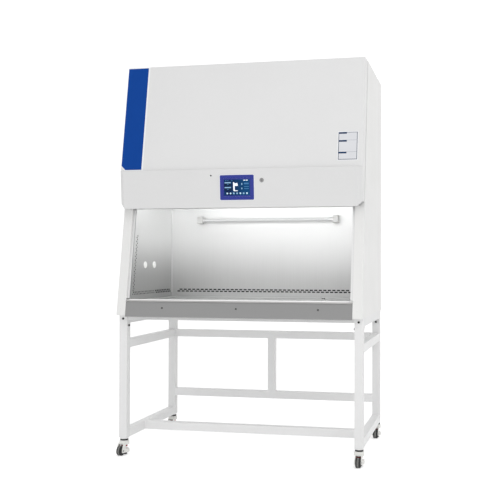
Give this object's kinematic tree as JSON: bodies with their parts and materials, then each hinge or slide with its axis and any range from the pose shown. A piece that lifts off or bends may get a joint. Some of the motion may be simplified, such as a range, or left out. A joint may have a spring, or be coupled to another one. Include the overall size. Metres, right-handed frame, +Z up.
{
  "type": "biosafety cabinet",
  "caption": "Biosafety cabinet with a leaning front, raised glass sash, stainless work chamber, display band and hinged cover, on a square-tube stand with levelling casters.",
  "frame": {"origin": "on the floor under the middle of the cabinet's outline", "axes": "+Z up, +X to the user's right, +Y to the back"},
  "size_m": [1.351, 0.86, 2.1483],
  "materials": {
    "body_paint": "fine-grained off-white powder coat",
    "cover_paint": "smooth off-white powder coat",
    "band_paint": "light grey-white powder coat",
    "stand_paint": "off-white powder coat on square tube",
    "stainless": "brushed stainless sheet, long grain",
    "galvanised": "plain zinc-coated sheet",
    "apron_grey": "dark grey satin coat",
    "lip_grey": "dark grey satin coat, rounded edge",
    "sash_glass": "clear toughened glass",
    "sash_aluminium": "satin anodised",
    "filter_media": "white pleated media in a light frame",
    "motor_dark": "black motor enamel",
    "impeller_metal": "pressed sheet",
    "lamp_white": "opal lamp cover",
    "uv_glass": "clear quartz look with metal caps",
    "holder_white": "white moulded holder",
    "plug_white": "white stopper",
    "socket_grey": "grey moulded outlet",
    "inlet_black": "black moulded inlet",
    "valve_brass": "plated brass",
    "lever_red": "red sleeved lever",
    "hinge_steel": "plain steel hinge",
    "bezel_blue": "dark indigo moulded frame",
    "screen_blue": "dark display under glass",
    "lock_chrome": "plated key barrel",
    "bolt_black": "black coated round heads",
    "caster_white": "cream-white cast body",
    "wheel_black": "black nylon tyre and hub",
    "dial_red": "red notched dial",
    "foot_black": "black rubber pad on a steel screw",
    "ring_dark": "dark plated ring and stud"
  },
  "bodies": {
    "cabinet": {"left_side_panel": "body_paint", "right_side_panel": "body_paint", "rear_panel": "body_paint", "roof_panel": "body_paint", "exhaust_guard": "body_paint", "base_pan": "stainless", "front_apron": "apron_grey", "arm_rest": "lip_grey", "inner_back_wall": "stainless", "inner_left_wall": "stainless", "inner_right_wall": "stainless", "diffuser_panel": "stainless", "hepa_filters": "filter_media", "plenum_box": "galvanised", "blower_scroll": "galvanised", "blower_motor": "motor_dark", "service_panel": "galvanised", "sash_guides": "sash_aluminium", "sash_motor": "motor_dark", "work_lamp": "lamp_white", "uv_lamp_tube": "uv_glass", "uv_lamp_holders": "holder_white", "service_port_plugs": "plug_white", "socket_box": "socket_grey", "power_inlet": "inlet_black", "drain_valve_body": "valve_brass", "cover_hinges": "hinge_steel", "stand_top_frame": "stand_paint", "stand_legs": "stand_paint", "stand_rails": "stand_paint", "stand_bolts": "bolt_black", "caster_studs": "ring_dark"},
    "sash": {"sash_glass": "sash_glass", "sash_rail": "sash_aluminium"},
    "lift_shaft": {"sash_shaft": "hinge_steel"},
    "cover": {"front_cover": "cover_paint", "control_fascia": "band_paint", "display_bezel": "bezel_blue", "display_screen": "screen_blue"},
    "lock_barrel": {"key_lock": "lock_chrome"},
    "tray": {"work_tray": "stainless"},
    "impeller": {"blower_impeller": "impeller_metal"},
    "drain_lever": {"drain_valve_lever": "lever_red"},
    "outlet_lid": {"socket_flap": "socket_grey"},
    "caster_front_left": {"caster_housing_front_left": "caster_white"},
    "wheel_front_left": {"caster_wheel_front_left": "wheel_black"},
    "dial_front_left": {"levelling_dial_front_left": "dial_red"},
    "foot_front_left": {"levelling_foot_front_left": "foot_black"},
    "caster_front_right": {"caster_housing_front_right": "caster_white"},
    "wheel_front_right": {"caster_wheel_front_right": "wheel_black"},
    "dial_front_right": {"levelling_dial_front_right": "dial_red"},
    "foot_front_right": {"levelling_foot_front_right": "foot_black"},
    "caster_rear_left": {"caster_housing_rear_left": "caster_white"},
    "wheel_rear_left": {"caster_wheel_rear_left": "wheel_black"},
    "dial_rear_left": {"levelling_dial_rear_left": "dial_red"},
    "foot_rear_left": {"levelling_foot_rear_left": "foot_black"},
    "caster_rear_right": {"caster_housing_rear_right": "caster_white"},
    "wheel_rear_right": {"caster_wheel_rear_right": "wheel_black"},
    "dial_rear_right": {"levelling_dial_rear_right": "dial_red"},
    "foot_rear_right": {"levelling_foot_rear_right": "foot_black"}
  },
  "joints": [
    {"name": "sash_slide", "type": "slide", "parent": "cabinet", "child": "sash", "axis": [0, -0.1736, -0.9848], "range_m": [0, 0.5]},
    {"name": "lift_shaft_turn", "type": "hinge", "parent": "cabinet", "child": "lift_shaft", "pos_m": [0, -0.23291, 1.94599], "axis": [-1, 0, 0], "range_deg": [0, 1024.1]},
    {"name": "cover_hinge", "type": "hinge", "parent": "cabinet", "child": "cover", "pos_m": [0, -0.18836, 2.1433], "axis": [-1, 0, 0], "range_deg": [0, 70]},
    {"name": "key_turn", "type": "hinge", "parent": "cover", "child": "lock_barrel", "pos_m": [0.136, -0.40881, 1.48215], "axis": [0, -0.9969, -0.0785], "range_deg": [0, 90]},
    {"name": "tray_lift", "type": "slide", "parent": "cabinet", "child": "tray", "axis": [0, 0, 1], "range_m": [0, 0.1]},
    {"name": "impeller_spin", "type": "hinge", "parent": "cabinet", "child": "impeller", "pos_m": [0, 0.098, 1.8005], "axis": [1, 0, 0], "continuous": true},
    {"name": "drain_lever_turn", "type": "hinge", "parent": "cabinet", "child": "drain_lever", "pos_m": [-0.45, 0.127, 0.739], "axis": [0, 1, 0], "range_deg": [0, 90]},
    {"name": "outlet_lid_hinge", "type": "hinge", "parent": "cabinet", "child": "outlet_lid", "pos_m": [0.6025, 0.12, 1.037], "axis": [0, 1, 0], "range_deg": [0, 100]},
    {"name": "caster_swivel_front_left", "type": "hinge", "parent": "cabinet", "child": "caster_front_left", "pos_m": [-0.6475, -0.3655, 0.078], "axis": [0, 0, 1], "continuous": true},
    {"name": "wheel_roll_front_left", "type": "hinge", "parent": "caster_front_left", "child": "wheel_front_left", "pos_m": [-0.65273, -0.40273, 0.026], "axis": [-0.9903, 0.1392, 0], "continuous": true},
    {"name": "foot_lower_front_left", "type": "slide", "parent": "caster_front_left", "child": "foot_front_left", "axis": [0, 0, -1], "range_m": [0, 0.01]},
    {"name": "dial_turn_front_left", "type": "hinge", "parent": "caster_front_left", "child": "dial_front_left", "pos_m": [-0.6475, -0.3655, 0.0485], "axis": [0, 0, 1], "range_deg": [0, 2400]},
    {"name": "caster_swivel_front_right", "type": "hinge", "parent": "cabinet", "child": "caster_front_right", "pos_m": [0.6475, -0.3655, 0.078], "axis": [0, 0, 1], "continuous": true},
    {"name": "wheel_roll_front_right", "type": "hinge", "parent": "caster_front_right", "child": "wheel_front_right", "pos_m": [0.6475, -0.4031, 0.026], "axis": [-1, 0, 0], "continuous": true},
    {"name": "foot_lower_front_right", "type": "slide", "parent": "caster_front_right", "child": "foot_front_right", "axis": [0, 0, -1], "range_m": [0, 0.01]},
    {"name": "dial_turn_front_right", "type": "hinge", "parent": "caster_front_right", "child": "dial_front_right", "pos_m": [0.6475, -0.3655, 0.0485], "axis": [0, 0, 1], "range_deg": [0, 2400]},
    {"name": "caster_swivel_rear_left", "type": "hinge", "parent": "cabinet", "child": "caster_rear_left", "pos_m": [-0.6475, 0.3775, 0.078], "axis": [0, 0, 1], "continuous": true},
    {"name": "wheel_roll_rear_left", "type": "hinge", "parent": "caster_rear_left", "child": "wheel_rear_left", "pos_m": [-0.6475, 0.3399, 0.026], "axis": [-1, 0, 0], "continuous": true},
    {"name": "foot_lower_rear_left", "type": "slide", "parent": "caster_rear_left", "child": "foot_rear_left", "axis": [0, 0, -1], "range_m": [0, 0.01]},
    {"name": "dial_turn_rear_left", "type": "hinge", "parent": "caster_rear_left", "child": "dial_rear_left", "pos_m": [-0.6475, 0.3775, 0.0485], "axis": [0, 0, 1], "range_deg": [0, 2400]},
    {"name": "caster_swivel_rear_right", "type": "hinge", "parent": "cabinet", "child": "caster_rear_right", "pos_m": [0.6475, 0.3775, 0.078], "axis": [0, 0, 1], "continuous": true},
    {"name": "wheel_roll_rear_right", "type": "hinge", "parent": "caster_rear_right", "child": "wheel_rear_right", "pos_m": [0.6475, 0.3399, 0.026], "axis": [-1, 0, 0], "continuous": true},
    {"name": "foot_lower_rear_right", "type": "slide", "parent": "caster_rear_right", "child": "foot_rear_right", "axis": [0, 0, -1], "range_m": [0, 0.01]},
    {"name": "dial_turn_rear_right", "type": "hinge", "parent": "caster_rear_right", "child": "dial_rear_right", "pos_m": [0.6475, 0.3775, 0.0485], "axis": [0, 0, 1], "range_deg": [0, 2400]}
  ],
  "couplings": [
    {"joint": "lift_shaft_turn", "follows": "sash_slide", "rad_per_m": 35.714},
    {"joint": "foot_lower_front_left", "follows": "dial_turn_front_left", "m_per_rad": 0.00023873},
    {"joint": "foot_lower_front_right", "follows": "dial_turn_front_right", "m_per_rad": 0.00023873},
    {"joint": "foot_lower_rear_left", "follows": "dial_turn_rear_left", "m_per_rad": 0.00023873},
    {"joint": "foot_lower_rear_right", "follows": "dial_turn_rear_right", "m_per_rad": 0.00023873}
  ]
}
